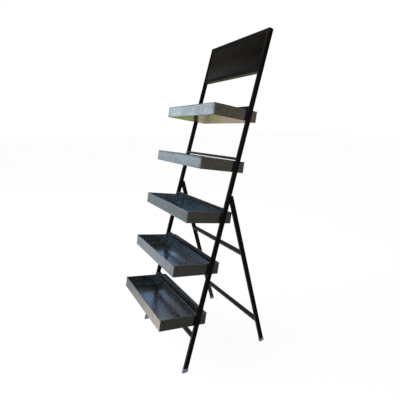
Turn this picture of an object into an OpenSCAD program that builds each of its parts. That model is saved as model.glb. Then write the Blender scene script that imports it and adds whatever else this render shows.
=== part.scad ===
// Folding plant ladder stand. Five tilted sheet metal trays hang between the
// uprights of a leaning front frame, under a chalkboard header, and a rear
// frame hinged behind the uprights props it up. Millimetres. The floor is
// z = 0, the front faces -Y, and +X is on the right seen from the front.

/* [Front frame] */
// Width across the outer faces of the two uprights
stand_w = 500; // [440:5:560]
// Length of an upright, from the floor along its slope
upright_l = 1582; // [1560:1:1620]
// Lean of the uprights, back from vertical, in degrees
lean = 16.5; // [15:0.1:18]
// Size of every frame tube, across the stand
tube_w = 10; // [9:0.5:12]
// Size of every frame tube, from front to back
tube_d = 22; // [20:0.5:24]
// Wall of every frame tube
tube_wall = 1; // [0.8:0.1:1.2]
// Underside of the base stretcher, along the upright from the floor
stretcher_l = 156; // [100:1:180]

/* [Trays] */
// Depth of a tray over its rim, from front to back
tray_d = 228; // [200:1:235]
// Height of a tray
tray_h = 51; // [45:1:55]
// How far a tray reaches in front of the middle line of the uprights
tray_reach = 183.5; // [150:0.5:190]
// Slope of the trays down towards the back, in degrees
tray_tilt = 9; // [5:0.5:12]
// Rim of the lowest tray, along the upright from the floor
first_rim_l = 262.5; // [255:0.5:270]
// Step from one tray to the next, along the upright
tray_pitch = 236; // [230:1:240]
// Thickness of the tray sheet
sheet_t = 1; // [0.8:0.1:1.2]
// Height of the rim, which is rolled outwards
rim_h = 3; // [2:0.5:5]
// How far the rim stands out from the walls
rim_out = 1; // [0.5:0.1:2]
// Gap between a tray rim and the rung that crosses above it
rung_gap = 5; // [4:0.5:8]

/* [Header board] */
// Underside of the rail below the board, along the upright from the floor
board_rail_l = 1381; // [1360:1:1400]
// Width of the border lips around the board
lip_w = 9; // [7:0.5:12]
// Thickness of the border lips
lip_t = 2; // [1.5:0.1:3]
// How far the border lips sit behind the front of the tubes
lip_inset = 2; // [1:0.5:4]
// Thickness of the chalkboard
board_t = 3; // [3:0.5:5]
// Gap between the chalkboard and the tubes around it
board_gap = 0.5; // [0.2:0.1:1]

/* [Rear frame] */
// Slope of the rear legs, forward from vertical, in degrees
rear_slope = 14.3; // [13:0.1:16]
// Hinge pin, along the upright from the floor
hinge_l = 787; // [785:1:800]
// Gap between an upright and a rear leg when they lie parallel
fold_gap = 1.5; // [1.5:0.1:2]
// Gap left at the stop where a leg top meets its upright
stop_gap = 0.3; // [0.2:0.05:0.4]
// Height of the blunt leg top above the hinge pin, along the upright
leg_top_l = 28; // [20:1:30]
// Underside of the upper crossbar, along the rear leg from the floor
upper_bar_l = 501; // [498:1:506]
// Underside of the lower crossbar, along the rear leg from the floor
lower_bar_l = 122; // [100:1:140]

/* [Hinges] */
// Thickness of a hinge plate
plate_t = 3; // [2.5:0.5:4]
// Height of a hinge plate, and width of its round ear
plate_h = 20; // [18:1:24]
// Radius of a hinge pin
pin_r = 3; // [2.5:0.25:3.5]
// Radial clearance of a hinge pin in its leg
pin_clearance = 0.05; // [0.02:0.01:0.1]
// Gap between a hinge plate and the rear leg beside it
leg_gap = 0.8; // [0.6:0.1:1]
// Thickness of the washer in that gap
washer_t = 0.5; // [0.3:0.1:0.5]

/* [Fasteners] */
// Radius of a tray screw
screw_r = 2.5; // [2:0.25:3]
// Depth of the upper screw of a pair below the tray rim
screw_top = 15; // [12:1:18]
// Distance between the two screws of a pair
screw_step = 22; // [18:1:24]
// Radius of a screw that holds the chalkboard
board_screw_r = 1.5; // [1.25:0.25:1.75]

/* [Foot caps] */
// Thickness of the sides of a foot cap
cap_wall = 1.5; // [1:0.1:2]
// Thickness of the sole of a foot cap
cap_sole = 3; // [2:0.5:4]
// Height of a foot cap along its leg
cap_h = 18; // [14:1:24]

/* [Hidden] */
$fn = 48;
eps = 0.01;
LEFT = -1;
RIGHT = 1;
hex = 6;

frame_black = [0.06, 0.055, 0.05];
zinc_grey = [0.62, 0.66, 0.68];
board_grey = [0.13, 0.12, 0.11];
cap_lilac = [0.55, 0.54, 0.66];
bolt_zinc = [0.75, 0.74, 0.7];
nylon_white = [0.9, 0.9, 0.86];

// Space between the uprights, and the middle of an upright
inner_w = stand_w - 2 * tube_w;
upright_x = stand_w / 2 - tube_w / 2;

// Trays, numbered from the top. The rim touches both uprights.
TRAYS = [1 : 5];
tray_body_w = inner_w - 2 * rim_out;
tray_body_d = tray_d - 2 * rim_out;
tray_inside_w = tray_body_w - 2 * sheet_t;
tray_inside_d = tray_body_d - 2 * sheet_t;
function rim_l(number) = first_rim_l + (5 - number) * tray_pitch;

// Header board, in the opening between the top rail and the board rail
opening_bottom = board_rail_l + tube_w;
opening_top = upright_l - tube_w;
lip_y = -tube_d / 2 + lip_inset;
board_y = lip_y + lip_t;
board_screw_bite = lip_t - 0.5;
board_screw_head_r = 3;
board_screw_head_h = 1.6;
board_screw_columns = 5;

// Hinge: where the pin lies from the middle of the upright, and from the floor
pin_n = tube_d / 2 + fold_gap + tube_d / 2;
pin_y = hinge_l * sin(lean) + pin_n * cos(lean);
pin_z = hinge_l * cos(lean) - pin_n * sin(lean);
leg_x = upright_x + leg_gap;
leg_inner_x = leg_x - tube_w / 2;
leg_outer_x = leg_x + tube_w / 2;
leg_l = pin_z / cos(rear_slope);
plate_front = 8;
head_gap = 0.3;
pin_head_r = 5.5;
pin_head_h = 2.5;
hinge_nut_r = 5.8;
hinge_nut_h = 4;
pin_tail = 1;
washer_r = 6.5;

// Tray screws. Threads are plain, with this radial gap in what they screw into.
thread_gap = 0.05;
screw_clearance = 0.1;
screw_head_r = 4.5;
screw_head_h = 2.4;
screw_tail = 1;
tray_nut_r = 4.6;
tray_nut_h = 4;

// Foot caps. The front caps stand flat, the rear ones on their front edge,
// which is worn flat by this much.
cap_w = tube_w + 2 * cap_wall;
cap_d = tube_d + 2 * cap_wall;
rear_wear = 2;
rear_sole_l = (cap_d / 2 * sin(rear_slope) - rear_wear) / cos(rear_slope);
cap_below = 20;

// Ends of the stand from front to back, with the upright foot at y = 0. The
// lowest tray reaches furthest forward, at the foot of its front wall.
tray_front_y = rim_l(5) * sin(lean) - (tray_reach - rim_out) * cos(tray_tilt)
    - tray_h * sin(tray_tilt);
upright_back_y = upright_l * sin(lean) + tube_d / 2 * cos(lean);
foot_y = -(tray_front_y + upright_back_y) / 2;
floor_size = 2 * upright_l;

// Local frame of the uprights: z runs up the slope from the floor, y to the back
module on_upright() {
    translate([0, foot_y, 0]) rotate([-lean, 0, 0]) children();
}

// Local frame of the rear legs: z runs up the leg from the hinge pin
module on_leg() {
    translate([0, foot_y + pin_y, pin_z]) rotate([rear_slope, 0, 0]) children();
}

// Local frame of a tray: z = 0 is its rim, y = 0 the middle of the uprights
module on_tray(number) {
    translate([0, foot_y + rim_l(number) * sin(lean), rim_l(number) * cos(lean)])
        rotate([-tray_tilt, 0, 0]) children();
}

// Everything below this height, to cut a leg or a cap off at the floor
module below(height) {
    translate([-floor_size / 2, -floor_size / 2, height - floor_size]) cube(floor_size);
}

// A box centred across and in depth, from one height to another
module block(width, depth, low, high) {
    translate([-width / 2, -depth / 2, low]) cube([width, depth, high - low]);
}

// A tube that stands along z, open at the foot and closed at the head
module standing_tube(low, high) {
    difference() {
        block(tube_w, tube_d, low, high);
        block(tube_w - 2 * tube_wall, tube_d - 2 * tube_wall, low - eps, high - tube_wall);
    }
}

// A tube that lies across the stand, its underside at this height
module cross_tube(length, low) {
    translate([-length / 2, 0, low + tube_w / 2]) rotate([0, 90, 0]) difference() {
        block(tube_w, tube_d, 0, length);
        block(tube_w - 2 * tube_wall, tube_d - 2 * tube_wall, -eps, length + eps);
    }
}

// A round bar along x, from one side position to another
module bar_x(radius, from, to, sides = $fn) {
    translate([min(from, to), 0, 0]) rotate([0, 90, 0])
        cylinder(h = abs(to - from), r = radius, $fn = sides);
}

// Places its children at each of the two tray screws, along the upright
module at_tray_screws(number) {
    for (drop = [screw_top, screw_top + screw_step])
        translate([0, 0, rim_l(number) - drop]) children();
}

module upright(side) {
    color(frame_black) difference() {
        on_upright() difference() {
            translate([side * upright_x, 0, 0]) standing_tube(-cap_below, upright_l);
            for (number = TRAYS)
                at_tray_screws(number)
                    bar_x(screw_r + screw_clearance, side * inner_w / 2 - side, side * stand_w / 2 + side);
        }
        below(cap_sole);
    }
}

module top_rail() {
    color(frame_black) on_upright() cross_tube(inner_w, upright_l - tube_w);
}

module board_rail() {
    color(frame_black) on_upright() cross_tube(inner_w, board_rail_l);
}

module base_stretcher() {
    color(frame_black) on_upright() cross_tube(inner_w, stretcher_l);
}

module rung(number) {
    color(frame_black) on_upright() cross_tube(inner_w, rim_l(number) + rung_gap);
}

// The four walls of a tray: a band of sheet, its rim rolled outwards, with screw
// holes in its ends
module tray(number) {
    color(zinc_grey) difference() {
        on_tray(number) translate([0, tray_d / 2 - tray_reach, 0]) difference() {
            union() {
                block(tray_body_w, tray_body_d, -tray_h, 0);
                block(inner_w, tray_d, -rim_h, 0);
            }
            block(tray_inside_w, tray_inside_d, -tray_h - eps, eps);
        }
        on_upright() at_tray_screws(number)
            bar_x(screw_r + screw_clearance, -inner_w / 2 - eps, inner_w / 2 + eps);
    }
}

// The bottom of a tray, let in between its walls and soldered there
module tray_bottom(number) {
    color(zinc_grey) on_tray(number) translate([0, tray_d / 2 - tray_reach, 0])
        block(tray_inside_w, tray_inside_d, -tray_h, sheet_t - tray_h);
}

// Round-headed screws from outside the uprights into the tray ends
module tray_screws() {
    tail_x = tray_inside_w / 2 - tray_nut_h - screw_tail;
    color(frame_black) on_upright()
        for (number = TRAYS, side = [LEFT, RIGHT])
            at_tray_screws(number) {
                bar_x(screw_r, side * tail_x, side * (stand_w / 2 + eps));
                bar_x(screw_head_r, side * stand_w / 2, side * (stand_w / 2 + screw_head_h));
            }
}

module tray_nuts() {
    nut_x = tray_inside_w / 2;
    color(bolt_zinc) on_upright()
        for (number = TRAYS, side = [LEFT, RIGHT])
            at_tray_screws(number) difference() {
                bar_x(tray_nut_r, side * (nut_x - tray_nut_h), side * nut_x, hex);
                bar_x(screw_r + thread_gap, side * (nut_x - tray_nut_h - 1), side * (nut_x + 1));
            }
}

// Places its children at each screw that holds the board to one lip
module at_board_screws(places) {
    for (place = places) translate([place[0], 0, place[1]]) children();
}

// Screw places along the lips: a row in the top and bottom lip, one in each side
function row_places(height) = [
    for (column = [0 : board_screw_columns - 1])
        [(column / (board_screw_columns - 1) - 0.5) * (inner_w - 6 * lip_w), height]
];
top_places = row_places(opening_top - lip_w / 2);
bottom_places = row_places(opening_bottom + lip_w / 2);
side_place_h = (opening_top + opening_bottom) / 2;
side_place_x = inner_w / 2 - lip_w / 2;
side_places = [for (side = [LEFT, RIGHT]) [side * side_place_x, side_place_h]];
board_places = concat(top_places, bottom_places, side_places);

// A hole or screw shank square to the board
module bar_y(radius, from, to) {
    translate([0, from, 0]) rotate([-90, 0, 0]) cylinder(h = to - from, r = radius);
}

// A border lip, with blind holes in its back for the board screws
module lip(width, low, high, x, places) {
    color(frame_black) on_upright() difference() {
        translate([x, lip_y + lip_t / 2, 0]) block(width, lip_t, low, high);
        at_board_screws(places)
            bar_y(board_screw_r + thread_gap, board_y - board_screw_bite, board_y + eps);
    }
}

module lip_top() {
    lip(inner_w, opening_top - lip_w, opening_top, 0, top_places);
}

module lip_bottom() {
    lip(inner_w, opening_bottom, opening_bottom + lip_w, 0, bottom_places);
}

module lip_side(side) {
    lip(lip_w, opening_bottom + lip_w, opening_top - lip_w, side * side_place_x,
        [[side * side_place_x, side_place_h]]);
}

module chalkboard() {
    color(board_grey) on_upright() difference() {
        translate([0, board_y + board_t / 2, 0])
            block(inner_w - 2 * board_gap, board_t, opening_bottom + board_gap, opening_top - board_gap);
        at_board_screws(board_places)
            bar_y(board_screw_r + thread_gap, board_y - eps, board_y + board_t + eps);
    }
}

// Pan-headed screws through the back of the board into the lips
module board_screws() {
    color(frame_black) on_upright()
        at_board_screws(board_places) {
            bar_y(board_screw_r, board_y - board_screw_bite, board_y + board_t + eps);
            bar_y(board_screw_head_r, board_y + board_t, board_y + board_t + board_screw_head_h);
        }
}

// A flat plate welded inside the upright, with a round ear around the pin
module hinge_plate(side) {
    color(frame_black) on_upright() translate([0, 0, hinge_l]) difference() {
        union() {
            translate([side * (inner_w / 2 - plate_t / 2), (pin_n - plate_front) / 2, 0])
                block(plate_t, pin_n + plate_front, -plate_h / 2, plate_h / 2);
            translate([0, pin_n, 0])
                bar_x(plate_h / 2, side * (inner_w / 2 - plate_t), side * inner_w / 2);
        }
        translate([0, pin_n, 0])
            bar_x(pin_r + thread_gap, side * (inner_w / 2 - plate_t - 1), side * (inner_w / 2 + 1));
    }
}

module hinge_washers() {
    color(nylon_white) on_upright() translate([0, pin_n, hinge_l])
        for (side = [LEFT, RIGHT]) difference() {
            bar_x(washer_r, side * inner_w / 2, side * (inner_w / 2 + washer_t));
            bar_x(pin_r + thread_gap, side * (inner_w / 2 - 1), side * (inner_w / 2 + washer_t + 1));
        }
}

// Shouldered bolt: head outside the rear leg, nut inside the hinge plate
module hinge_pin(side) {
    tail_x = inner_w / 2 - plate_t - hinge_nut_h - pin_tail;
    head_x = leg_outer_x + head_gap;
    color(bolt_zinc) on_upright() translate([0, pin_n, hinge_l]) {
        bar_x(pin_r, side * tail_x, side * (head_x + eps));
        bar_x(pin_head_r, side * head_x, side * (head_x + pin_head_h));
    }
}

module hinge_nuts() {
    nut_x = inner_w / 2 - plate_t;
    color(bolt_zinc) on_upright() translate([0, pin_n, hinge_l])
        for (side = [LEFT, RIGHT]) difference() {
            bar_x(hinge_nut_r, side * (nut_x - hinge_nut_h), side * nut_x, hex);
            bar_x(pin_r + thread_gap, side * (nut_x - hinge_nut_h - 1), side * (nut_x + 1));
        }
}

// A rear leg: its top is mitred to stop on the back of the upright
module rear_leg(side) {
    color(frame_black) difference() {
        on_leg() difference() {
            translate([side * leg_x, 0, 0]) difference() {
                block(tube_w, tube_d, rear_sole_l + cap_sole - leg_l, 2 * tube_d);
                block(tube_w - 2 * tube_wall, tube_d - 2 * tube_wall, -leg_l, 2 * tube_d + 1);
            }
            bar_x(pin_r + pin_clearance, side * (leg_inner_x - 1), side * (leg_outer_x + 1));
        }
        on_upright() {
            translate([0, -tube_d / 2 + stop_gap, hinge_l])
                block(2 * stand_w, 2 * tube_d, -2 * tube_d, 4 * tube_d);
            translate([0, pin_n, hinge_l]) block(2 * stand_w, 4 * tube_d, leg_top_l, 6 * tube_d);
        }
    }
}

module rear_bar_upper() {
    color(frame_black) on_leg() cross_tube(2 * leg_inner_x, upper_bar_l - leg_l);
}

module rear_bar_lower() {
    color(frame_black) on_leg() cross_tube(2 * leg_inner_x, lower_bar_l - leg_l);
}

module foot_front(side) {
    color(cap_lilac) difference() {
        on_upright() translate([side * upright_x, 0, 0]) block(cap_w, cap_d, -cap_below, cap_h);
        below(0);
        difference() {
            on_upright() translate([side * upright_x, 0, 0]) block(tube_w, tube_d, -cap_below, cap_h + 1);
            below(cap_sole);
        }
    }
}

module foot_rear(side) {
    sole_l = rear_sole_l - leg_l;
    color(cap_lilac) difference() {
        on_leg() translate([side * leg_x, 0, 0]) difference() {
            block(cap_w, cap_d, sole_l, cap_h - leg_l);
            block(tube_w, tube_d, sole_l + cap_sole, cap_h + 1 - leg_l);
        }
        below(0);
    }
}

upright(LEFT);  // upright_left
upright(RIGHT);  // upright_right
top_rail();
board_rail();
base_stretcher();
rung(1);  // rung_1
rung(2);  // rung_2
rung(3);  // rung_3
rung(4);  // rung_4
rung(5);  // rung_5
tray(1);  // tray_1
tray(2);  // tray_2
tray(3);  // tray_3
tray(4);  // tray_4
tray(5);  // tray_5
tray_bottom(1);  // tray_bottom_1
tray_bottom(2);  // tray_bottom_2
tray_bottom(3);  // tray_bottom_3
tray_bottom(4);  // tray_bottom_4
tray_bottom(5);  // tray_bottom_5
tray_screws();
tray_nuts();
lip_top();
lip_bottom();
lip_side(LEFT);  // lip_left
lip_side(RIGHT);  // lip_right
chalkboard();
board_screws();
hinge_plate(LEFT);  // hinge_plate_left
hinge_plate(RIGHT);  // hinge_plate_right
hinge_washers();
hinge_pin(LEFT);  // hinge_pin_left
hinge_pin(RIGHT);  // hinge_pin_right
hinge_nuts();
rear_leg(LEFT);  // rear_leg_left
rear_leg(RIGHT);  // rear_leg_right
rear_bar_upper();
rear_bar_lower();
foot_front(LEFT);  // foot_front_left
foot_front(RIGHT);  // foot_front_right
foot_rear(LEFT);  // foot_rear_left
foot_rear(RIGHT);  // foot_rear_right
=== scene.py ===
import math

import bmesh
import bpy
from mathutils import Matrix, Vector, noise


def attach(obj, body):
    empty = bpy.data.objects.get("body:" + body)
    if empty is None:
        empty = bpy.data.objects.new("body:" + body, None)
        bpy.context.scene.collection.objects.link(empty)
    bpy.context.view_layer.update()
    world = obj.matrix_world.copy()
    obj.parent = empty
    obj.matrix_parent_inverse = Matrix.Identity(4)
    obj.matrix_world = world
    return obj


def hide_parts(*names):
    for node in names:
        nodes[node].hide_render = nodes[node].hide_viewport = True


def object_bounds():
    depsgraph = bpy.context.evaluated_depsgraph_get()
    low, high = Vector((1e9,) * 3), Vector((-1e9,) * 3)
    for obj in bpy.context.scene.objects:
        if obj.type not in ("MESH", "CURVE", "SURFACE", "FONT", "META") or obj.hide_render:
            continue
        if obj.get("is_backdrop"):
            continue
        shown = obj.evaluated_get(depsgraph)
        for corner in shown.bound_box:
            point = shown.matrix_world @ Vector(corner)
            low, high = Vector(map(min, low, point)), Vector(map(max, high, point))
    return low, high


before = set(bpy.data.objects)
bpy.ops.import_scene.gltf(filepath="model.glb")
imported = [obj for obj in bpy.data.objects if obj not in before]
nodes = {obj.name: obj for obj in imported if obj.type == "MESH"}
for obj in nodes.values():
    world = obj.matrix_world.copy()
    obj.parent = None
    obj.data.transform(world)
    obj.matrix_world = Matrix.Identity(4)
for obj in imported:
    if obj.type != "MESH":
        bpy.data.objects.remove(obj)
cad_low, cad_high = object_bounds()
scene = bpy.context.scene
scene.view_settings.view_transform = "Standard"

# Camera. It stands in front of the stand and to its right, just below the top
# tray, and looks a little down across the lower ones.
camera_lens = bpy.data.cameras.new("camera")
camera_lens.sensor_width = 36.0
camera_lens.lens = 29.798
camera_lens.shift_x = -0.03003
camera_lens.shift_y = -0.05576
camera = bpy.data.objects.new("camera", camera_lens)
camera_down, camera_turn = 8.757, 59.155
camera.location = (1.4495, -0.7500, 1.0834)
camera.rotation_euler = (math.radians(90 - camera_down), 0.0, math.radians(camera_turn))
scene.collection.objects.link(camera)
scene.camera = camera


# Front frame tubes. Flat steel tube, 10 by 22 mm with 1 mm walls, sawn to length,
# butt-welded and powder coated. The coat is a satin black with a brown cast,
# finely pebbled, with a film of dust and a painted sheen of the sky on what faces
# up, which turns the tops a lighter, bluish grey.
class Wire:
    """A value that runs through a finish. Plain arithmetic on it adds Math nodes."""

    def __init__(self, finish, socket):
        self.finish = finish
        self.socket = socket

    def out(self, name):
        """Another output of the node that this value comes from."""
        return Wire(self.finish, self.socket.node.outputs[name])

    def math(self, operation, first, second):
        return self.finish.node("ShaderNodeMath", {"operation": operation}, {0: first, 1: second})

    def __add__(self, other):
        return self.math("ADD", self, other)

    __radd__ = __add__

    def __sub__(self, other):
        return self.math("SUBTRACT", self, other)

    def __rsub__(self, other):
        return self.math("SUBTRACT", other, self)

    def __mul__(self, other):
        return self.math("MULTIPLY", self, other)

    __rmul__ = __mul__

    def __gt__(self, other):
        return self.math("GREATER_THAN", self, other)

    def or_larger(self, other):
        return self.math("MAXIMUM", self, other)


class Finish:
    """The node tree of one material, of the world, or a tree by itself."""

    def __init__(self, owner):
        self.owner = owner
        if isinstance(owner, bpy.types.NodeTree):
            self.tree = owner
        else:
            owner.use_nodes = True
            self.tree = owner.node_tree
        self.tree.nodes.clear()

    def node(self, kind, settings=None, inputs=None):
        """Adds a node: its type, its settings, and what its sockets hold, by name or number."""
        made = self.tree.nodes.new(kind)
        for name, value in (settings or {}).items():
            setattr(made, name, value)
        for name, value in (inputs or {}).items():
            if isinstance(name, int):
                socket = made.inputs[name]
            else:
                socket = next(s for s in made.inputs if s.name == name and s.enabled)
            if isinstance(value, Wire):
                self.tree.links.new(value.socket, socket)
            elif socket.type == "RGBA":
                socket.default_value = (*value, 1.0)
            else:
                socket.default_value = value
        return Wire(self, next(s for s in made.outputs if s.enabled)) if made.outputs else None

    def place(self):
        """Where a point is on the stand, in metres."""
        return self.node("ShaderNodeTexCoord").out("Object")

    def axes(self, vector):
        """Splits a vector. Its parts are the outputs X, Y and Z."""
        return self.node("ShaderNodeSeparateXYZ", None, {"Vector": vector})

    def stretched(self, place, along):
        """The same place, with each direction stretched or squeezed."""
        return self.node("ShaderNodeVectorMath", {"operation": "MULTIPLY"}, {0: place, 1: along})

    def noise(self, place, scale, detail=3.0, roughness=0.5, distortion=0.0):
        return self.node("ShaderNodeTexNoise", None, {
            "Vector": place, "Scale": scale, "Detail": detail,
            "Roughness": roughness, "Distortion": distortion})

    def between(self, low, high, value):
        """Runs from 0 to 1 while the value goes from low to high."""
        return self.node("ShaderNodeMapRange", {"clamp": True}, {
            "Value": value, "From Min": low, "From Max": high, "To Min": 0.0, "To Max": 1.0})

    def mix(self, share, first, second):
        settings = {"data_type": "RGBA", "clamp_factor": True}
        return self.node("ShaderNodeMix", settings, {"Factor": share, "A": first, "B": second})

    def facing_up(self):
        """1 on level tops, 0 on walls, -1 on undersides."""
        return self.axes(self.node("ShaderNodeNewGeometry").out("Normal")).out("Z")

    def bump(self, height, depth, strength):
        return self.node("ShaderNodeBump", None, {
            "Height": height, "Distance": depth, "Strength": strength})

    def surface(self, inputs):
        shader = self.node("ShaderNodeBsdfPrincipled", None, inputs)
        self.node("ShaderNodeOutputMaterial", None, {"Surface": shader})
        return self.owner


def painted_steel():
    paint = Finish(bpy.data.materials.new("frame_paint"))
    place = paint.place()
    cloud = paint.noise(place, 9.0, 4.0, 0.6)
    pebble = paint.noise(place, 1100.0, 2.0)
    rubbed = paint.between(0.56, 0.8, paint.noise(place, 60.0, 6.0, 0.7))
    # Tops lighter and bluish grey: partly a film of dust, partly a painted sheen of the sky.
    dust_and_sheen = paint.between(0.55, 1.0, paint.facing_up()) * paint.between(0.35, 0.7, cloud)
    black = paint.mix(cloud, (0.0038, 0.0030, 0.0022), (0.0056, 0.0046, 0.0036))
    black = paint.mix(rubbed * 0.5, black, (0.010, 0.0088, 0.0078))
    black = paint.mix(dust_and_sheen * 0.3, black, (0.020, 0.0195, 0.021))
    return paint.surface({
        "Base Color": black,
        "Roughness": 0.26 + 0.12 * cloud + 0.12 * dust_and_sheen,
        "Specular IOR Level": 0.42,
        "Normal": paint.bump(pebble, 0.00004, 0.5)})


frame_paint = painted_steel()
foot_y = -0.173091
lean = math.radians(16.5)
on_upright = Matrix.Translation((0, foot_y, 0)) @ Matrix.Rotation(-lean, 4, "X")
tube_width, tube_depth = 0.010, 0.022
tube_edge = 0.00045
sharp_turn = math.radians(40)
same_spot = 0.00001


def marked_edges(shortest):
    """Steps that shade faces flat, and mark the sharp edges longer than this to be rolled."""
    group = bpy.data.node_groups.new("marked_edges", "GeometryNodeTree")
    for way in ("INPUT", "OUTPUT"):
        group.interface.new_socket("Geometry", in_out=way, socket_type="NodeSocketGeometry")
    steps = Finish(group)
    shape = steps.node("NodeGroupInput")
    shape = steps.node("GeometryNodeRemoveAttribute", None, {
        "Geometry": shape, "Name": "custom_normal"})
    shape = steps.node("GeometryNodeSetShadeSmooth", None, {
        "Geometry": shape, "Shade Smooth": False})
    ends = steps.node("GeometryNodeInputMeshEdgeVertices")
    length = steps.node("ShaderNodeVectorMath", {"operation": "DISTANCE"}, {
        0: ends.out("Position 1"), 1: ends.out("Position 2")})
    turn = steps.node("GeometryNodeInputMeshEdgeAngle")
    mark = (turn > sharp_turn) * (length > shortest)
    shape = steps.node(
        "GeometryNodeStoreNamedAttribute", {"data_type": "FLOAT", "domain": "EDGE"},
        {"Geometry": shape, "Name": "bevel_weight_edge", "Value": mark})
    steps.node("NodeGroupOutput", None, {"Geometry": shape})
    return group


def finish_node(name, material, edge):
    """Gives a CAD node its finish, and rolls its edges to this radius, but not its hole rims."""
    node = nodes[name]
    node.data.materials.clear()
    node.data.materials.append(material)
    node.modifiers.new("joined", "WELD").merge_threshold = same_spot
    node.modifiers.new("marked", "NODES").node_group = marked_edges(3 * edge)
    rolled = node.modifiers.new("rolled", "BEVEL")
    rolled.width = edge
    rolled.segments = 3
    rolled.limit_method = "WEIGHT"
    rolled.use_clamp_overlap = False


front_tubes = ["upright_left", "upright_right", "top_rail", "board_rail", "base_stretcher"]
front_tubes += [f"rung_{number}" for number in range(1, 6)]
for name in front_tubes:
    finish_node(name, frame_paint, tube_edge)


# Welds of the front frame. A short fillet of weld metal runs along the top and
# the underside of each cross tube where it meets an upright. The front and back
# seams are ground flush and painted over.
inner_x = 0.240
stretcher_low, board_rail_low, top_rail_low = 0.156, 1.381, 1.572
lowest_rim, rim_spacing, rim_to_rung = 0.2625, 0.236, 0.005
rim_lengths = {number: lowest_rim + (5 - number) * rim_spacing for number in range(1, 6)}
bead_radius, bead_step, bead_sides, bead_taper = 0.0016, 0.0005, 10, 0.0015
ripple_length, ripple_depth = 0.0021, 0.16
bead_under, bead_over = 0.0002, 0.0098
bead_short, bead_sunk = 0.0025, 0.0003


def bridge(mesh, rings, closed=False):
    """Skins a row of rings that have the same number of points."""
    pairs = list(zip(rings, rings[1:]))
    if closed:
        pairs.append((rings[-1], rings[0]))
    for lower, upper in pairs:
        count = len(lower)
        for spot in range(count):
            after = (spot + 1) % count
            mesh.faces.new((lower[spot], lower[after], upper[after], upper[spot]))


def weld_bead(mesh, matrix, start, end, radius=bead_radius):
    """Overlapping ripples of weld metal from start to end, tapered off at both ends."""
    start, end = Vector(start), Vector(end)
    along = (end - start).normalized()
    across = along.orthogonal().normalized()
    other = along.cross(across)
    length = (end - start).length
    steps = max(8, round(length / bead_step))
    rings = []
    for step in range(steps + 1):
        gone = length * step / steps
        ripple = ripple_depth * ((gone / ripple_length) % 1.0)
        taper = min(1.0, (min(gone, length - gone) + 0.0001) / bead_taper) ** 0.5
        size = radius * taper * (1.0 - ripple)
        ring = []
        for side in range(bead_sides):
            angle = 2 * math.pi * side / bead_sides
            off = size * (math.cos(angle) * across + math.sin(angle) * other)
            ring.append(mesh.verts.new(matrix @ (start + along * gone + off)))
        rings.append(ring)
    bridge(mesh, rings)
    mesh.faces.new(list(reversed(rings[0])))
    mesh.faces.new(rings[-1])


def cross_tube_beads(mesh, matrix, end_x, heights):
    """Beads along both ends of a cross tube, at these heights."""
    reach = tube_depth / 2 - bead_short
    for side in (-1, 1):
        x = side * (end_x - bead_sunk)
        for height in heights:
            weld_bead(mesh, matrix, (x, -reach, height), (x, reach, height))


def make_piece(name, mesh, material, body, smooth=35):
    """Turns a mesh into a piece that rides on a body. Turns under smooth degrees look round."""
    bmesh.ops.recalc_face_normals(mesh, faces=mesh.faces)
    data = bpy.data.meshes.new(name)
    mesh.to_mesh(data)
    mesh.free()
    data.materials.append(material)
    data.shade_smooth()
    data.set_sharp_from_angle(angle=math.radians(smooth))
    piece = bpy.data.objects.new(name, data)
    scene.collection.objects.link(piece)
    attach(piece, body)
    return piece


cross_tubes = [stretcher_low, board_rail_low, top_rail_low]
cross_tubes += [length + rim_to_rung for length in rim_lengths.values()]
welds = bmesh.new()
for low in cross_tubes:
    heights = [low + bead_under] if low == top_rail_low else [low + bead_under, low + bead_over]
    cross_tube_beads(welds, on_upright, inner_x, heights)
make_piece("front_welds", welds, frame_paint, "front_frame")


# Trays. Galvanised sheet, 1 mm thick: a band bent round the four sides with its
# rim rolled outwards, and a bottom with its edge turned up, let in and soldered.
# The zinc is bright, spangled and a bit dented, with scratches along the bottoms.
def galvanised_sheet():
    zinc = Finish(bpy.data.materials.new("galvanised"))
    place = zinc.place()
    wander = zinc.noise(place, 40.0, 2.0)
    bent = zinc.node("ShaderNodeVectorMath", {"operation": "MULTIPLY_ADD"}, {
        0: wander.out("Color"), 1: (0.012, 0.012, 0.012), 2: place})
    crystal = zinc.node("ShaderNodeTexVoronoi", None, {"Vector": bent, "Scale": 120.0})
    small = zinc.node("ShaderNodeTexVoronoi", None, {"Vector": bent, "Scale": 330.0})
    tone = zinc.node("ShaderNodeSeparateColor", None, {"Color": crystal.out("Color")}).out("Red")
    grain = zinc.node("ShaderNodeSeparateColor", None, {"Color": small.out("Color")}).out("Green")
    patina = zinc.noise(place, 7.0, 6.0, 0.62)
    speck = zinc.noise(place, 420.0, 4.0, 0.7)
    streak = zinc.noise(zinc.stretched(place, (1.0, 1.0, 0.3)), 150.0, 3.0, 0.6)
    mottle = zinc.between(0.25, 0.75, 0.34 * tone + 0.16 * grain + 0.18 * speck + 0.32 * streak)
    colour = zinc.mix(mottle, (0.47, 0.49, 0.50), (0.72, 0.745, 0.76))
    colour = zinc.mix(zinc.between(0.45, 0.75, patina) * 0.45, colour, (0.42, 0.43, 0.44))
    scratch = zinc.noise(zinc.stretched(place, (0.04, 1.0, 1.0)), 200.0, 3.0, 0.65)
    scratch = zinc.between(0.36, 0.64, scratch)
    scratched = zinc.mix(scratch, (0.43, 0.445, 0.455), (0.87, 0.89, 0.90))
    colour = zinc.mix(zinc.between(0.6, 0.9, zinc.facing_up()) * 0.6, colour, scratched)
    return zinc.surface({
        "Base Color": colour,
        "Metallic": 1.0,
        "Roughness": 0.12 + 0.16 * grain + 0.10 * zinc.between(0.4, 0.75, patina),
        "Normal": zinc.bump(0.6 * tone + 0.4 * grain, 0.00003, 0.5)})


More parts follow.
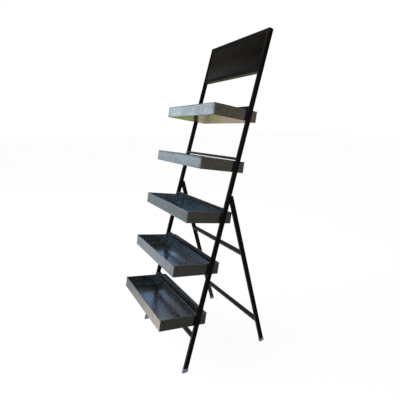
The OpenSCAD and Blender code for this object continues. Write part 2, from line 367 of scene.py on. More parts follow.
galvanised = galvanised_sheet()
tilt = math.radians(9)
sheet = 0.001
tray_half_d, tray_front, tray_h = 0.114, 0.1835, 0.051
wall_w, wall_d = 0.239, 0.113
wall_levels = (-0.046, -0.038, -0.028, -0.018, -0.009)
rim_roll, rim_height, rim_steps = 0.0025, 0.0012, 8
band_corner, pan_corner, corner_steps = 0.0022, 0.0044, 5
cell_columns, cell_rows = 40, 19
wall_dent, floor_dent = 0.0004, 0.00028
wall_seed, floor_seed, fine_seed = 3.1, 5.3, 7
broad_dents, fine_dents, fine_share = 9, 24, 0.35
stiff_end, stiff_rim, stiff_foot, foot_share = 0.03, 0.02, 0.012, 0.15


def on_tray(number):
    """The middle of a tray's rim plane, square to its walls."""
    length = rim_lengths[number]
    middle = Matrix.Translation((0, foot_y + length * math.sin(lean), length * math.cos(lean)))
    forward = Matrix.Translation((0, tray_half_d - tray_front, 0))
    return middle @ Matrix.Rotation(-tilt, 4, "X") @ forward


def clamped(value):
    return max(0.0, min(1.0, value))


def dent(spot, seed, depth):
    """How far the sheet stands out of true at a spot, in metres."""
    across, up = spot
    broad = noise.noise(Vector((across * broad_dents, up * broad_dents, seed)))
    fine = noise.noise(Vector((across * fine_dents, up * fine_dents, seed + fine_seed)))
    return depth * (broad + fine_share * fine)


def outline(half_w, half_d, radius):
    """Points around a rounded rectangle. Its straight parts are divided as the bottom is."""
    straight_w, straight_d = half_w - radius, half_d - radius
    spots = []
    sides = [((-1, -1), (1, -1), cell_columns, -90), ((1, -1), (1, 1), cell_rows, 0),
             ((1, 1), (-1, 1), cell_columns, 90), ((-1, 1), (-1, -1), cell_rows, 180)]
    for (x0, y0), (x1, y1), cells, turn in sides:
        out = Vector((math.cos(math.radians(turn)), math.sin(math.radians(turn))))
        for cell in range(cells + 1):
            share = cell / cells
            x, y = x0 + (x1 - x0) * share, y0 + (y1 - y0) * share
            spots.append(Vector((x * straight_w, y * straight_d)) + out * radius)
        centre = Vector((x1 * straight_w, y1 * straight_d))
        for step in range(1, corner_steps):
            angle = math.radians(turn + 90 * step / corner_steps)
            spots.append(centre + radius * Vector((math.cos(angle), math.sin(angle))))
    return spots


def wall_ring(mesh, matrix, out, height, roll, seed):
    """One level of the band, out from its outer face, and further by roll in front and behind.
    Its front and back are dented, but not near the rim, the foot and the corners."""
    free = clamped(min(-height / stiff_rim, (tray_h + height) / stiff_foot + foot_share))
    ring = []
    for x, y in outline(wall_w + out, wall_d + out + roll, band_corner + out):
        dented = abs(y) > wall_d - 0.004
        inside = clamped((wall_w - abs(x)) / stiff_end) if dented else 0.0
        push = dent((x, height), seed + (1 if y > 0 else 2), wall_dent) * free * inside
        ring.append(mesh.verts.new(matrix @ Vector((x, y + push, height))))
    return ring


def tray_band(number):
    """The four walls: up the inside, over the rolled rim, and down the outside."""
    mesh = bmesh.new()
    matrix = on_tray(number)
    levels = [(-sheet, height, 0) for height in (-tray_h, *wall_levels, -0.004, -rim_height)]
    for step in range(1, rim_steps + 1):
        angle = math.pi * (1 - step / rim_steps)
        levels.append((sheet * math.cos(angle), -rim_height + rim_height * math.sin(angle),
                       rim_roll * (1 + math.cos(angle)) / 2))
    levels += [(sheet, -0.0020, rim_roll), (0.0008, -0.0026, rim_roll * 0.8),
               (0.0003, -0.0029, rim_roll * 0.4), (0.00005, -0.0030, 0.0001)]
    levels += [(0.0, height, 0) for height in (-0.0034, *reversed(wall_levels), -0.0500)]
    levels += [(-0.0003, -0.0507, 0), (-0.0007, -0.0509, 0)]
    rings = [wall_ring(mesh, matrix, *level, number * wall_seed) for level in levels]
    bridge(mesh, rings, closed=True)
    piece = make_piece(f"tray_{number}_band", mesh, galvanised, "front_frame",
                       smooth=50)
    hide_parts(f"tray_{number}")


def panel(mesh, matrix, ring, out, height, seed):
    """Fills a ring with a grid of sheet that is gently out of true."""
    radius = pan_corner + out
    half_w, half_d = wall_w + out - radius, wall_d + out - radius
    grid = []
    for row in range(cell_rows + 1):
        line = []
        for column in range(cell_columns + 1):
            x = half_w * (2 * column / cell_columns - 1)
            y = half_d * (2 * row / cell_rows - 1)
            inside = clamped(min(half_w - abs(x), half_d - abs(y)) / stiff_end)
            lift = dent((x, y), seed, floor_dent) * inside
            line.append(mesh.verts.new(matrix @ Vector((x, y, height + lift))))
        grid.append(line)
    for lower, upper in zip(grid, grid[1:]):
        for column in range(cell_columns):
            mesh.faces.new((lower[column], lower[column + 1], upper[column + 1], upper[column]))
    edges = [grid[0], [line[-1] for line in grid], list(reversed(grid[-1])),
             [line[0] for line in reversed(grid)]]
    at = 0
    for edge in edges:
        for before, after in zip(edge, edge[1:]):
            mesh.faces.new((ring[at], ring[at + 1], after, before))
            at += 1
        for step in range(corner_steps):
            mesh.faces.new((ring[at], ring[(at + 1) % len(ring)], edge[-1]))
            at += 1


def tray_pan(number):
    """The bottom: a slightly dented floor with its edge turned up inside the band."""
    mesh = bmesh.new()
    matrix = on_tray(number)
    outer, top_round, inner = -0.00115, -0.0015, -0.00185
    outer_bend, inner_bend, bend_steps = 0.0018, 0.0008, 4
    edge_top, edge_full, edge_foot = -0.0480, -0.0482, -0.0492
    outer_levels = [(outer, edge_full), (outer, edge_foot)]
    inner_levels = [(inner, edge_full), (inner, edge_foot)]
    for step in range(1, bend_steps + 1):
        angle = math.pi / 2 * step / bend_steps
        across, down = 1 - math.cos(angle), math.sin(angle)
        outer_levels.append((outer - outer_bend * across, edge_foot - outer_bend * down))
        inner_levels.append((inner - inner_bend * across, edge_foot - inner_bend * down))
    levels = list(reversed(outer_levels)) + [(top_round, edge_top)] + inner_levels
    rings = []
    for out, height in levels:
        spots = outline(wall_w + out, wall_d + out, pan_corner + out)
        rings.append([mesh.verts.new(matrix @ Vector((x, y, height))) for x, y in spots])
    bridge(mesh, rings)
    for end in (0, -1):
        panel(mesh, matrix, rings[end], *levels[end], number * floor_seed)
    piece = make_piece(f"tray_{number}_bottom", mesh, galvanised, "front_frame",
                       smooth=50)
    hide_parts(f"tray_bottom_{number}")


for number in range(1, 6):
    tray_band(number)
    tray_pan(number)


# Tray fasteners. Blackened round-headed machine screws with a cross recess go in
# from outside the uprights, two to a tray end, into plain zinc-plated hex nuts.
def blackened_steel():
    steel = Finish(bpy.data.materials.new("black_oxide"))
    place = steel.place()
    stain = steel.noise(place, 260.0, 4.0, 0.65)
    colour = steel.mix(stain, (0.010, 0.010, 0.011), (0.026, 0.023, 0.021))
    return steel.surface({
        "Base Color": colour, "Metallic": 0.6, "Roughness": 0.30 + 0.2 * stain,
        "Normal": steel.bump(steel.noise(place, 1600.0), 0.00002, 0.4)})


def zinc_plating():
    plate = Finish(bpy.data.materials.new("zinc_plate"))
    haze = plate.noise(plate.place(), 300.0, 3.0)
    colour = plate.mix(haze, (0.52, 0.53, 0.50), (0.68, 0.68, 0.62))
    return plate.surface({
        "Base Color": colour, "Metallic": 1.0, "Roughness": 0.22 + 0.16 * haze,
        "Normal": plate.bump(haze, 0.00002, 0.4)})


def round_ring(mesh, matrix, x, radius, sides):
    """A ring of points about the x axis."""
    turns = [2 * math.pi * side / sides for side in range(sides)]
    return [mesh.verts.new(matrix @ Vector((x, radius * math.cos(turn), radius * math.sin(turn))))
            for turn in turns]


def domed_head(mesh, matrix, side, face_x, radius, height, recess):
    """A round head on the outside of a face, dished by a recess of this outline."""
    sides, steps = 48, 14
    fall, curve = 0.8, 2.6
    rings = []
    for step in range(1, steps + 1):
        reach = radius * step / steps
        crown = height * (1 - fall * (step / steps) ** curve)
        ring = []
        for turn in range(sides):
            angle = 2 * math.pi * turn / sides
            y, z = reach * math.cos(angle), reach * math.sin(angle)
            x = side * (face_x + crown - recess(y, z))
            ring.append(mesh.verts.new(matrix @ Vector((x, y, z))))
        rings.append(ring)
    middle = mesh.verts.new(matrix @ Vector((side * (face_x + height - recess(0, 0)), 0, 0)))
    for turn in range(sides):
        mesh.faces.new((middle, rings[0][turn], rings[0][(turn + 1) % sides]))
    under = round_ring(mesh, matrix, side * face_x, radius, sides)
    bridge(mesh, rings + [under])
    mesh.faces.new(under)


def cross_recess(size):
    """The depth of a cross recess, in a head of this radius."""
    arm, half, deep = 0.52 * size, 0.13 * size, 0.32 * size

    def depth(y, z):
        off, along = sorted((abs(y), abs(z)))
        cut = clamped((half - off) / (0.05 * size))
        return deep * cut * clamped((arm - along) / (0.25 * size))
    return depth


def threaded(mesh, matrix, side, radius, root_x, tip_x, pitch):
    """A shank from root_x to tip_x, cut with rings of thread, narrower at the tip."""
    groove, tip, sides = radius * 0.86, radius * 0.8, 24
    crest_share, groove_share = 0.35, 0.7
    turns = int(abs(tip_x - root_x) / pitch)
    step = (tip_x - root_x) / turns
    profile = [(radius, root_x)]
    for turn in range(turns):
        profile += [(radius, root_x + step * (turn + crest_share)),
                    (groove, root_x + step * (turn + groove_share))]
    profile.append((tip, tip_x))
    rings = [round_ring(mesh, matrix, side * x, reach, sides) for reach, x in profile]
    bridge(mesh, rings)
    mesh.faces.new(rings[0])
    mesh.faces.new(rings[-1])


def hex_nut(mesh, matrix, side, face_x, corner, height, bore):
    """A hex nut with chamfered corners and an open bore, on a face towards the middle."""
    sides = 48
    flat = corner * math.cos(math.pi / 6)
    mouth, mouth_depth, slope = bore * 1.15, 0.0003, 0.55
    hexagon = None
    levels = [(bore, 0.0), (flat, 0.0), (hexagon, 0.0), (hexagon, height),
              (flat, height), (mouth, height), (bore, height - mouth_depth)]
    rings = []
    for radius, lift in levels:
        ring = []
        for turn in range(sides):
            angle = 2 * math.pi * turn / sides
            reach = radius or flat / math.cos(angle % (math.pi / 3) - math.pi / 6)
            chamfer = 0.0 if radius else slope * (reach - flat)
            x = side * (face_x - (lift - chamfer if lift else chamfer))
            y, z = reach * math.cos(angle), reach * math.sin(angle)
            ring.append(mesh.verts.new(matrix @ Vector((x, y, z))))
        rings.append(ring)
    bridge(mesh, rings, closed=True)


black_oxide = blackened_steel()
zinc_plate = zinc_plating()
outer_x = 0.250
screw_drops = (0.015, 0.037)
screw_head, screw_head_h = 0.0045, 0.0024
screw_shank, screw_tip_x, screw_pitch = 0.0025, 0.233, 0.0008
nut_face_x, nut_corner, nut_h, nut_bore = 0.238, 0.0046, 0.004, 0.00255
screws, nuts = bmesh.new(), bmesh.new()
for number in range(1, 6):
    for drop in screw_drops:
        spot = on_upright @ Matrix.Translation((0, 0, rim_lengths[number] - drop))
        for side in (-1, 1):
            domed_head(screws, spot, side, outer_x, screw_head, screw_head_h,
                       cross_recess(screw_head))
            threaded(screws, spot, side, screw_shank, outer_x, screw_tip_x, screw_pitch)
            hex_nut(nuts, spot, side, nut_face_x, nut_corner, nut_h, nut_bore)
screws = make_piece("tray_screw_set", screws, black_oxide, "front_frame")
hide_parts("tray_screws")
nuts = make_piece("tray_nut_set", nuts, zinc_plate, "front_frame", smooth=25)
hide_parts("tray_nuts")


# Header board. Hardboard coated in matt chalk paint, wiped many times, held from
# behind by small pan-headed screws in a border of flat steel strip that is
# welded inside the opening and coated with the frame.
def chalk_paint():
    board = Finish(bpy.data.materials.new("chalkboard"))
    place = board.place()
    wiped = board.noise(board.stretched(place, (2.2, 7.0, 7.0)), 3.0, 5.0, 0.6, 0.6)
    streaks = board.noise(board.stretched(place, (6.0, 60.0, 60.0)), 4.0, 4.0, 0.6)
    grain = board.noise(place, 900.0, 3.0, 0.6)
    chalk = board.between(0.42, 0.78, wiped) * (0.6 + 0.8 * board.between(0.4, 0.7, streaks))
    spot = board.axes(place)
    # Painted sheen: the board turns lighter and browner towards the left, where light falls on
    # it, and paler chalk grey low on the left; the dark right is painted shade.
    left = board.between(-0.26, 0.26, 0.0 - spot.out("X") + 0.25 * (wiped - 0.5))
    painted_sheen_low_left = left * board.between(-1.43, -1.35, 0.0 - spot.out("Z") + 0.06 * (streaks - 0.5))
    colour = board.mix(left, (0.0045, 0.0040, 0.0030), (0.0145, 0.0118, 0.0092))
    colour = board.mix(painted_sheen_low_left * 0.8 + chalk * 0.12, colour, (0.034, 0.0325, 0.031))
    colour = board.mix(board.between(0.55, 0.8, grain) * 0.12, colour, (0.034, 0.033, 0.032))
    return board.surface({
        "Base Color": colour, "Roughness": 0.72 + 0.2 * grain, "Specular IOR Level": 0.12,
        "Normal": board.bump(grain, 0.00006, 0.5)})


board_edge, lip_edge = 0.0004, 0.0005
finish_node("chalkboard", chalk_paint(), board_edge)
for name in ("lip_top", "lip_bottom", "lip_left", "lip_right"):
    finish_node(name, frame_paint, lip_edge)

half_lip = 0.0045
board_back, board_screw_tip, board_screw_span = -0.004, -0.0085, 0.426
board_screw_head, board_screw_head_h = 0.003, 0.0016
board_screw_shank, board_screw_pitch = 0.0015, 0.0006
opening_top, opening_bottom = top_rail_low, board_rail_low + tube_width
board_places = [((column / 4 - 0.5) * board_screw_span, row)
                for row in (opening_top - half_lip, opening_bottom + half_lip)
                for column in range(5)]
board_places += [(side * (inner_x - half_lip), (opening_top + opening_bottom) / 2)
                 for side in (-1, 1)]
quarter = Matrix.Rotation(math.radians(90), 4, "Z")
board_screws = bmesh.new()
for x, row in board_places:
    spot = on_upright @ Matrix.Translation((x, 0, row)) @ quarter
    domed_head(board_screws, spot, 1, board_back, board_screw_head, board_screw_head_h,
               cross_recess(board_screw_head))
    threaded(board_screws, spot, 1, board_screw_shank, board_back, board_screw_tip,
             board_screw_pitch)
board_screws = make_piece("board_screw_set", board_screws, black_oxide, "front_frame")
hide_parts("board_screws")


# Hinges. A flat steel ear is welded inside each upright. A shouldered bolt with
# a hex socket, blackened as the screws are, passes through the rear leg, a black
# nylon washer and the ear, and a zinc-plated nut holds it.
def hex_recess(size):
    """The depth of a hex socket, in a head of this radius."""
    flat, deep = 0.36 * size, 0.28 * size

    def depth(y, z):
        reach = max(abs(y * math.cos(turn) + z * math.sin(turn))
                    for turn in (0, math.pi / 3, 2 * math.pi / 3))
        return deep * clamped((flat - reach) / (0.06 * size))
    return depth


def black_nylon():
    nylon = Finish(bpy.data.materials.new("nylon"))
    cloud = nylon.noise(nylon.place(), 220.0)
    colour = nylon.mix(cloud, (0.010, 0.010, 0.010), (0.020, 0.020, 0.021))
    return nylon.surface({
        "Base Color": colour, "Roughness": 0.42 + 0.1 * cloud,
        "Normal": nylon.bump(cloud, 0.00002, 0.3)})


ear_edge, washer_edge = 0.0002, 0.0001
for word in ("left", "right"):
    finish_node(f"hinge_plate_{word}", frame_paint, ear_edge)
finish_node("hinge_washers", black_nylon(), washer_edge)

hinge_height, hinge_behind = 0.787, 0.0235
bolt_face_x, bolt_head, bolt_head_h = 0.2511, 0.0055, 0.0025
bolt_shank, bolt_tip_x, bolt_pitch = 0.003, 0.232, 0.001
hinge_nut_x, hinge_nut_corner, hinge_nut_h, hinge_nut_bore = 0.237, 0.0058, 0.004, 0.00305
hinge_spot = on_upright @ Matrix.Translation((0, hinge_behind, hinge_height))
hinge_nuts = bmesh.new()
for side, word in ((-1, "left"), (1, "right")):
    bolt = bmesh.new()
    domed_head(bolt, hinge_spot, side, bolt_face_x, bolt_head, bolt_head_h, hex_recess(bolt_head))
    threaded(bolt, hinge_spot, side, bolt_shank, bolt_face_x, bolt_tip_x, bolt_pitch)
    bolt = make_piece(f"hinge_bolt_{word}", bolt, black_oxide, "front_frame",
                      smooth=30)
    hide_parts(f"hinge_pin_{word}")
    hex_nut(hinge_nuts, hinge_spot, side, hinge_nut_x, hinge_nut_corner, hinge_nut_h,
            hinge_nut_bore)
hinge_nuts = make_piece("hinge_nut_set", hinge_nuts, zinc_plate, "front_frame",
                        smooth=25)
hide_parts("hinge_nuts")

ear_x, ear_half_height, ear_front, ear_behind, ear_bead = 0.2399, 0.0100, -0.0075, 0.0105, 0.0013
ear_spot = on_upright @ Matrix.Translation((0, 0, hinge_height))
ear_welds = bmesh.new()
for x in (-ear_x, ear_x):
    for height in (-ear_half_height, ear_half_height):
        weld_bead(ear_welds, ear_spot, (x, ear_front, height), (x, ear_behind, height), ear_bead)
make_piece("ear_welds", ear_welds, frame_paint, "front_frame")


# Rear frame. Two legs and two crossbars of the same tube and coating. The leg
# tops are sawn at a slant, so that they stop flat on the backs of the uprights.
pin_y, pin_z = 0.0729613, 0.7479168
leg_lean = math.radians(14.3)
on_leg = Matrix.Translation((0, pin_y, pin_z)) @ Matrix.Rotation(leg_lean, 4, "X")
leg_length = 0.7718314
upper_bar_low, lower_bar_low, bar_end_x = 0.501, 0.122, 0.2408
for name in ("rear_leg_left", "rear_leg_right", "rear_bar_upper", "rear_bar_lower"):
    finish_node(name, frame_paint, tube_edge)
rear_welds = bmesh.new()
for low in (upper_bar_low, lower_bar_low):
    bottom = low - leg_length
    cross_tube_beads(rear_welds, on_leg, bar_end_x, (bottom + bead_under, bottom + bead_over))
make_piece("rear_welds", rear_welds, frame_paint, "rear_frame")


# Foot caps. Soft vinyl, moulded in one piece and pushed over the tube ends. It
# has gone a cloudy lilac-grey. The front ones are cut level for the floor, the
# rear ones stand on a worn front edge.
def cloudy_vinyl():
    vinyl = Finish(bpy.data.materials.new("cap_plastic"))
    place = vinyl.place()
    cloud = vinyl.noise(place, 120.0, 4.0, 0.6)
    grime = vinyl.between(0.5, 0.75, vinyl.noise(place, 300.0, 5.0, 0.7))
    colour = vinyl.mix(cloud, (0.17, 0.165, 0.27), (0.27, 0.265, 0.40))
    colour = vinyl.mix(grime * 0.4, colour, (0.10, 0.095, 0.12))
    return vinyl.surface({
        "Base Color": colour, "Roughness": 0.36 + 0.2 * grime,
        "Normal": vinyl.bump(cloud, 0.00005, 0.4)})


cap_plastic = cloudy_vinyl()
front_cap_x, rear_cap_x = 0.245, 0.2458
cap_half_w, cap_half_d, cap_height = 0.0065, 0.0125, 0.018
rear_end_lift = 0.0011223
# A level of a cap is its inset, its corner radius, and its height from the sole or the top.
sole_levels = [(0.0006, 0.0018, 0.0), (0.0002, 0.0022, 0.0002), (0.0, 0.0024, 0.0009),
               (0.0, 0.0024, 0.0050), (0.0003, 0.0021, 0.0056)]
top_levels = [(0.0003, 0.0021, -0.0030), (0.0, 0.0024, -0.0024), (0.0, 0.0024, -0.0005),
              (0.0003, 0.0021, -0.0001), (0.0008, 0.0017, 0.0), (0.0014, 0.0012, -0.0003),
              (0.0015, 0.0011, -0.0010)]
inside_level = (0.0015, 0.0011, 0.0031)


def cap_outline(half_w, half_d, radius):
    """Points around the rounded section of a cap."""
    spots = []
    for turn, (sx, sy) in enumerate(((1, 1), (-1, 1), (-1, -1), (1, -1))):
        for step in range(7):
            angle = math.radians(90 * turn + 15 * step)
            spots.append((sx * (half_w - radius) + radius * math.cos(angle),
                          sy * (half_d - radius) + radius * math.sin(angle)))
    return spots


def foot_cap(name, matrix, middle_x, top, sole, body):
    """A cap over the end of a tube. sole(y) is the height of its underside."""
    mesh = bmesh.new()

    def ring(inset, radius, height, base=sole, share=1.0):
        made = []
        for x, y in cap_outline(cap_half_w - inset, cap_half_d - inset, radius):
            spot = Vector((middle_x + x * share, y * share, base(y * share) + height))
            made.append(mesh.verts.new(matrix @ spot))
        return made

    rings = [ring(*sole_levels[0], share=share) for share in (0.06, 0.3, 0.55, 0.8)]
    rings += [ring(*level) for level in sole_levels]
    rings += [ring(*level, base=lambda y: top) for level in top_levels]
    rings.append(ring(*inside_level))
    bridge(mesh, rings)
    mesh.faces.new(rings[0])
    mesh.faces.new(rings[-1])
    cap = make_piece(f"{name}_cap", mesh, cap_plastic, body, smooth=50)
    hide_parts(name)


def front_sole(y):
    """The floor, to which a front cap is cut."""
    return y * math.tan(lean)


def rear_sole(y):
    """The flat end of a rear cap, or the floor where its front edge is worn away."""
    floor = -(pin_z + y * math.sin(leg_lean)) / math.cos(leg_lean)
    return max(rear_end_lift - leg_length, floor)


for side, word in ((-1, "left"), (1, "right")):
    foot_cap(f"foot_front_{word}", on_upright, side * front_cap_x, cap_height, front_sole,
             "front_frame")
    foot_cap(f"foot_rear_{word}", on_leg, side * rear_cap_x, cap_height - leg_length, rear_sole,
             "rear_frame")


# Stage. A plain pale floor in a white studio, lit by one broad soft lamp from the
# front left. Tinted cards around it are seen only in reflections, so that the
# zinc and the coated tubes have something to mirror.
def seen_rays(tree):
    """1 for camera, glossy and transmission rays."""
    rays = tree.node("ShaderNodeLightPath")
    seen = rays.out("Is Camera Ray").or_larger(rays.out("Is Glossy Ray"))
    return seen.or_larger(rays.out("Is Transmission Ray"))


def studio():
    world = bpy.data.worlds.new("studio")
    scene.world = world
    sky = Finish(world)
    light = sky.node("ShaderNodeBackground", None, {
        "Color": (1.0, 1.0, 1.0), "Strength": 0.55 + 0.45 * seen_rays(sky)})
    sky.node("ShaderNodeOutputWorld", None, {"Surface": light})


def pale_floor():
    floor = Finish(bpy.data.materials.new("pale_floor"))
    matt = floor.node("ShaderNodeBsdfDiffuse", None, {"Color": (0.88, 0.88, 0.88)})
    glow = floor.node("ShaderNodeEmission", None, {"Color": (1.0, 1.0, 1.0), "Strength": 1.06})
    both = floor.node("ShaderNodeMixShader", None, {0: 0.86 * seen_rays(floor), 1: matt, 2: glow})
    floor.node("ShaderNodeOutputMaterial", None, {"Surface": both})
    return floor.owner


def stage_object(name, mesh, material):
    data = bpy.data.meshes.new(name)
    mesh.to_mesh(data)
    mesh.free()
    data.materials.append(material)
    made = bpy.data.objects.new(name, data)
    scene.collection.objects.link(made)
    made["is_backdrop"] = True
    return made


studio()
ground = bmesh.new()
bmesh.ops.create_grid(ground, x_segments=8, y_segments=8, size=40.0)
floor = stage_object("floor", ground, pale_floor())
floor.location = (0, 0, -0.0005)

card_distance, card_middle = 20, 0.6
ceiling_half, ceiling_height = 21, 30.0


def card(name, rows, along, first, last):
    """A card through rows of points, seen only in reflections. Its colour runs along an axis."""
    mesh = bmesh.new()
    rows = [[mesh.verts.new(point) for point in row] for row in rows]
    for before, after in zip(rows, rows[1:]):
        mesh.faces.new((before[0], after[0], after[1], before[1]))
    spread = [point.co["XYZ".index(along)] for row in rows for point in row]
    start, end = min(spread), max(spread)
    length = end - start
    tint = Finish(bpy.data.materials.new(name))
    place = tint.place()
    cloud = (tint.noise(place, 3.0 / length, 4.0, 0.6) - 0.5) * (0.5 * length)
    share = tint.between(start, end, tint.axes(place).out(along) + cloud)
    glow = tint.node("ShaderNodeEmission", None, {
        "Color": tint.mix(share, first, last), "Strength": 1.0})
    tint.node("ShaderNodeOutputMaterial", None, {"Surface": glow})
    tint.owner.cycles.emission_sampling = "NONE"
    made = stage_object(name, mesh, tint.owner)
    made.visible_camera = made.visible_diffuse = made.visible_transmission = False
    made.visible_volume_scatter = made.visible_shadow = False


def wall_rows(start, end, low, high):
    """Rows of a bent far card, in degrees, between two bearings and two elevations.
    A bearing of 0 is to the right, and 90 is behind."""
    count = max(2, round(abs(end - start) / 6))
    foot, head = [card_middle + card_distance * math.tan(math.radians(height))
                  for height in (low, high)]
    rows = []
    for step in range(count + 1):
        angle = math.radians(start + (end - start) * step / count)
        x, y = card_distance * math.cos(angle), card_distance * math.sin(angle)
        rows.append([(x, y, max(0.0, foot)), (x, y, head)])
    return rows


def level_rows(near_left, near_right, far_right, far_left, height):
    """Rows of a level card through four corners."""
    return [[(*near_left, height), (*near_right, height)],
            [(*far_left, height), (*far_right, height)]]


# Name, bearings, elevations, and the colours at the foot and at the head.
wall_cards = [
    ("left_low", (-163, -147.5), (-2, 4.2), (0.41, 0.475, 0.51), (0.50, 0.58, 0.63)),
    ("left_pale", (-163, -145.5), (4.2, 14.6), (0.88, 1.00, 1.07), (0.98, 1.09, 1.16)),
    ("left_dusk", (-163, -118), (14.6, 35), (0.08, 0.14, 0.21), (0.05, 0.07, 0.09)),
    ("left_shade", (-147.5, -118), (-2, 4.2), (0.045, 0.085, 0.125), (0.05, 0.09, 0.135)),
    ("left_gloom", (-145.5, -118), (4.2, 14.6), (0.05, 0.09, 0.135), (0.06, 0.10, 0.15)),
    ("left_brown", (-180, -118), (35, 62), (0.50, 0.355, 0.235), (0.34, 0.26, 0.19)),
    ("left_far_low", (-180, -163), (-2, 3), (0.37, 0.43, 0.44), (0.40, 0.46, 0.48)),
    ("left_far_night", (-180, -163), (3, 35), (0.02, 0.024, 0.03), (0.03, 0.04, 0.05)),
    ("front_pale", (-118, -62), (-2, 6), (0.34, 0.37, 0.38), (0.30, 0.33, 0.35)),
    ("front_low", (-62, -10), (-2, 6), (0.05, 0.06, 0.07), (0.06, 0.08, 0.10)),
    ("front_haze", (-118, -62), (6, 25), (0.50, 0.54, 0.56), (0.62, 0.66, 0.68)),
    ("front_blue", (-62, -26.5), (6, 25), (0.26, 0.46, 0.66), (0.24, 0.42, 0.60)),
    ("front_night", (-26.5, -10), (6, 25), (0.03, 0.04, 0.05), (0.05, 0.08, 0.11)),
    ("front_head", (-118, -52), (25, 62), (0.40, 0.42, 0.43), (0.30, 0.31, 0.32)),
    ("front_dusk", (-52, -10), (25, 42), (0.04, 0.055, 0.07), (0.04, 0.05, 0.055)),
    ("front_high", (-52, -10), (42, 62), (0.26, 0.27, 0.28), (0.24, 0.25, 0.26)),
    ("right_pale", (-10, 10), (-2, 7), (0.20, 0.20, 0.20), (0.22, 0.22, 0.22)),
    ("right_brown", (10, 60), (-2, 7), (0.135, 0.112, 0.080), (0.155, 0.132, 0.097)),
    ("right_night", (-10, 60), (7, 38), (0.012, 0.015, 0.013), (0.02, 0.02, 0.02)),
    ("right_head", (-10, 60), (38, 62), (0.24, 0.25, 0.26), (0.30, 0.31, 0.32)),
    ("back_pale", (60, 118), (-2, 62), (0.34, 0.35, 0.36), (0.42, 0.43, 0.44)),
    ("back_low", (118, 150.6), (0, 12), (0.022, 0.022, 0.024), (0.028, 0.028, 0.032)),
    ("back_grey", (118, 140), (12, 62), (0.14, 0.145, 0.15), (0.12, 0.125, 0.13)),
    ("back_umber", (140, 150.6), (12, 32), (0.12, 0.11, 0.105), (0.115, 0.115, 0.12)),
    ("blue", (150.6, 166), (3, 26), (0.47, 0.78, 1.29), (0.0, 0.0, 0.01)),
    ("blue_head", (150.6, 166), (26, 32), (0.12, 0.19, 0.30), (0.08, 0.12, 0.18)),
    ("blue_left", (166, 180), (3, 32), (0.14, 0.21, 0.34), (0.08, 0.13, 0.22)),
    ("back_head", (140, 180), (32, 62), (0.42, 0.39, 0.40), (0.34, 0.32, 0.33)),
]
for name, bearings, elevations, first, last in wall_cards:
    card(f"card_{name}", wall_rows(*bearings, *elevations), "Z", first, last)

ceiling = [(-ceiling_half, -ceiling_half), (ceiling_half, -ceiling_half),
           (ceiling_half, ceiling_half), (-ceiling_half, ceiling_half)]
card("card_ceiling", level_rows(*ceiling, ceiling_height), "X",
     (0.10, 0.10, 0.105), (0.10, 0.10, 0.105))

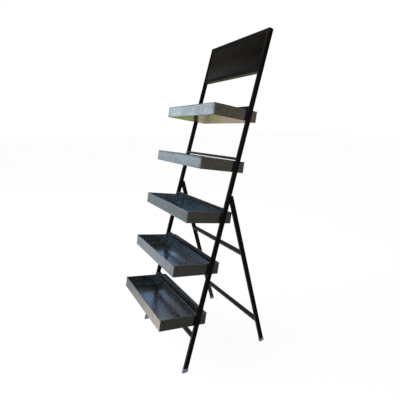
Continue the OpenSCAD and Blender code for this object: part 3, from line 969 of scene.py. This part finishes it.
# Name, axis of the colour, height, four corners, and the colours at both ends.
floor_cards = [
    ("right_far", "X", 0.001, ((4.0, -6.0), (4.0, 12.0), (20.0, 20.0), (20.0, -8.0)),
     (0.08, 0.07, 0.053), (0.11, 0.097, 0.073)),
    ("right", "X", 0.001, ((0.26, -1.6), (0.26, 3.0), (4.0, 12.0), (4.0, -6.0)),
     (0.048, 0.047, 0.042), (0.066, 0.060, 0.049)),
    ("back", "Y", 0.001, ((0.26, -0.30), (0.26, 3.0), (-1.2, 3.0), (-1.2, -0.30)),
     (0.56, 0.53, 0.54), (0.50, 0.48, 0.48)),
    ("front", "Y", 0.001, ((0.26, -1.6), (-1.1, -2.0), (-3.6, -7.0), (4.0, -6.0)),
     (0.20, 0.20, 0.20), (0.10, 0.10, 0.10)),
    ("back_far", "Y", 0.0005, ((0.26, 3.0), (-1.2, 1.5), (-20.0, 16.5), (12.0, 20.0)),
     (0.035, 0.034, 0.036), (0.03, 0.03, 0.03)),
    ("tan", "X", 0.001, ((-1.2, 1.5), (-1.2, 0.62), (-20.0, 10.3), (-20.0, 16.5)),
     (0.52, 0.38, 0.27), (0.48, 0.38, 0.27)),
    ("green", "X", 0.001, ((-1.2, 0.62), (-1.2, 0.2), (-20.0, 5.2), (-20.0, 10.3)),
     (0.22, 0.28, 0.08), (0.26, 0.31, 0.12)),
    ("umber", "X", 0.002, ((-1.2, 0.70), (-1.2, 0.66), (-20.0, 10.9), (-20.0, 11.35)),
     (0.12, 0.10, 0.075), (0.12, 0.10, 0.075)),
    ("russet", "X", 0.002, ((-3.0, 1.78), (-3.0, 1.60), (-20.0, 12.3), (-20.0, 12.75)),
     (0.17, 0.14, 0.09), (0.17, 0.14, 0.09)),
    ("olive", "X", 0.003, ((-1.2, 0.74), (-1.2, 0.70), (-12.0, 6.8), (-12.0, 7.3)),
     (0.34, 0.36, 0.16), (0.34, 0.36, 0.16)),
    ("moss", "X", 0.001, ((-1.2, 0.2), (-1.2, -0.15), (-20.0, 0.0), (-20.0, 5.2)),
     (0.38, 0.44, 0.36), (0.38, 0.44, 0.36)),
    ("left_far", "X", 0.001, ((-3.6, -0.7), (-3.6, -2.6), (-20.0, -12.8), (-20.0, -1.0)),
     (0.28, 0.32, 0.33), (0.31, 0.345, 0.35)),
    ("left_shade", "X", 0.001, ((-3.6, -2.6), (-3.6, -7.0), (-20.0, -20.0), (-20.0, -12.8)),
     (0.05, 0.085, 0.125), (0.05, 0.08, 0.11)),
    ("left", "X", 0.001, ((-1.1, -0.45), (-1.1, -3.0), (-3.6, -7.0), (-3.6, -0.7)),
     (0.28, 0.31, 0.33), (0.50, 0.54, 0.58)),
    ("near", "X", 0.001, ((0.26, -0.30), (0.26, -1.6), (-1.1, -2.0), (-1.1, -0.30)),
     (0.12, 0.14, 0.145), (1.15, 1.04, 0.90)),
]
for name, along, height, corners, first, last in floor_cards:
    card(f"card_floor_{name}", level_rows(*corners, height), along, first, last)

key_lamp = bpy.data.lights.new("key", "AREA")
key_lamp.shape = "RECTANGLE"
key_lamp.size, key_lamp.size_y = 3.0, 2.0
key_lamp.energy = 110
key_aim = Vector((0, 0, 0.7))
key = bpy.data.objects.new("key", key_lamp)
key.location = (-1.6, -3.0, 3.0)
key.rotation_euler = (key_aim - key.location).to_track_quat("-Z", "Y").to_euler()
key.visible_glossy = False
scene.collection.objects.link(key)

low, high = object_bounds()
{"cad": [list(cad_low), list(cad_high)], "visual": [list(low), list(high)]}
